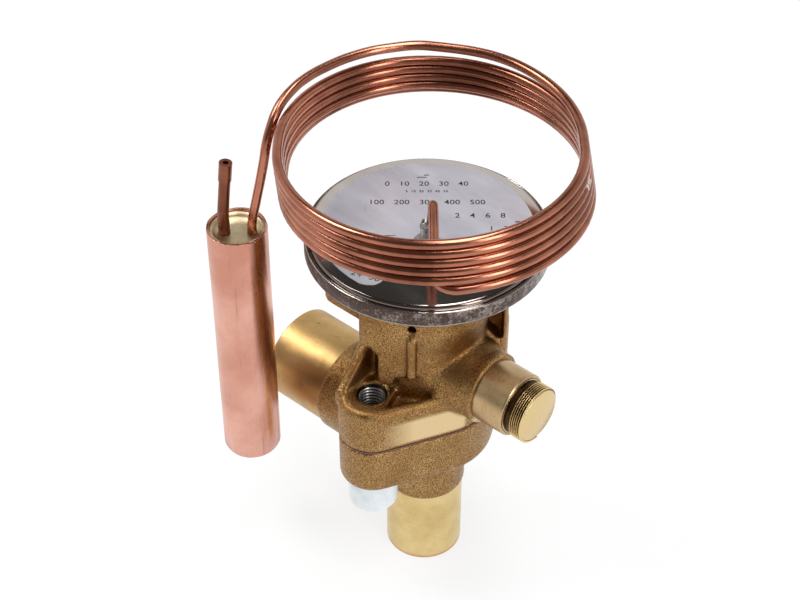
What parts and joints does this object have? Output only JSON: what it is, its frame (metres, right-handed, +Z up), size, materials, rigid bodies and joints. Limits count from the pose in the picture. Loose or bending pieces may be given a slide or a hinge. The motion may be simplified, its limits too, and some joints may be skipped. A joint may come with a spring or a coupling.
{
  "type": "thermostatic expansion valve",
  "caption": "Brass refrigerant expansion valve: bolted castings with solder sockets, a side adjusting boss, a round diaphragm head, a coiled copper capillary and a sensing bulb",
  "frame": {"origin": "centre of the mouth of the inlet solder socket", "axes": "+Z up the axis of the valve to the head, +X along the adjusting boss, -X along the outlet, lugs along Y"},
  "size_m": [0.1087, 0.096, 0.1714],
  "materials": {
    "cast_brass": "forged, grainy",
    "turned_brass": "turned, fine rings",
    "gasket_fibre": "thin pressed fibre",
    "black_rubber": "smooth",
    "spring_steel": "bright",
    "packing_white": "smooth",
    "bolt_steel": "bright",
    "white_plastic": "smooth, slightly waxy",
    "stainless_sheet": "pressed sheet, mottled rim",
    "label_grey": "printed film",
    "solder_silver": "soldered",
    "brown_copper": "drawn copper tube",
    "pink_copper": "drawn copper, slightly tarnished"
  },
  "bodies": {
    "valve_body": {"lower_body": "cast_brass", "body_gasket": "gasket_fibre", "orifice_cage": "turned_brass", "cage_gasket": "gasket_fibre", "plug_seal": "black_rubber", "superheat_spring": "spring_steel", "stem_guide": "turned_brass", "stem_seal": "black_rubber", "spindle_packing": "packing_white", "gland_nut": "turned_brass", "upper_body": "cast_brass", "thread_inserts": "spring_steel", "flange_bolts": "bolt_steel", "bolt_caps": "white_plastic", "head_lower_cup": "stainless_sheet", "diaphragm": "stainless_sheet", "head_top_cover": "stainless_sheet", "head_label": "label_grey", "capillary_collar": "solder_silver", "capillary_tube": "brown_copper", "bulb_shell": "pink_copper", "bulb_cap": "turned_brass", "fill_stub": "brown_copper", "stub_ferrule": "brown_copper"},
    "stem_group": {"valve_stem": "bolt_steel", "spring_plate": "turned_brass", "thrust_pad": "turned_brass"},
    "seat_nut": {"spring_seat": "turned_brass"},
    "gear_ring": {"adjusting_gear": "turned_brass"},
    "spindle": {"adjusting_spindle": "bolt_steel"},
    "plug": {"seal_plug": "turned_brass"}
  },
  "joints": [
    {"name": "valve_opening", "type": "slide", "parent": "valve_body", "child": "stem_group", "axis": [0, 0, -1], "range_m": [0, 0.0012], "stiffness_N_per_m": 15000, "deforming": ["superheat_spring"]},
    {"name": "superheat_adjustment", "type": "hinge", "parent": "valve_body", "child": "spindle", "pos_m": [0.02, 0, 0.0853], "axis": [1, 0, 0], "range_deg": [-1442, 1442]},
    {"name": "gear_turning", "type": "hinge", "parent": "valve_body", "child": "gear_ring", "pos_m": [0, 0, 0.0925], "axis": [0, 0, 1], "range_deg": [-601, 601]},
    {"name": "seat_travel", "type": "slide", "parent": "valve_body", "child": "seat_nut", "axis": [0, 0, 1], "range_m": [-0.0025, 0.0025], "deforming": ["superheat_spring"]},
    {"name": "plug_removal", "type": "slide", "parent": "valve_body", "child": "plug", "axis": [1, 0, 0], "range_m": [0, 0.02]}
  ],
  "couplings": [
    {"joint": "superheat_adjustment", "follows": "seat_travel", "rad_per_m": -10053},
    {"joint": "gear_turning", "follows": "seat_travel", "rad_per_m": 4188.8}
  ]
}
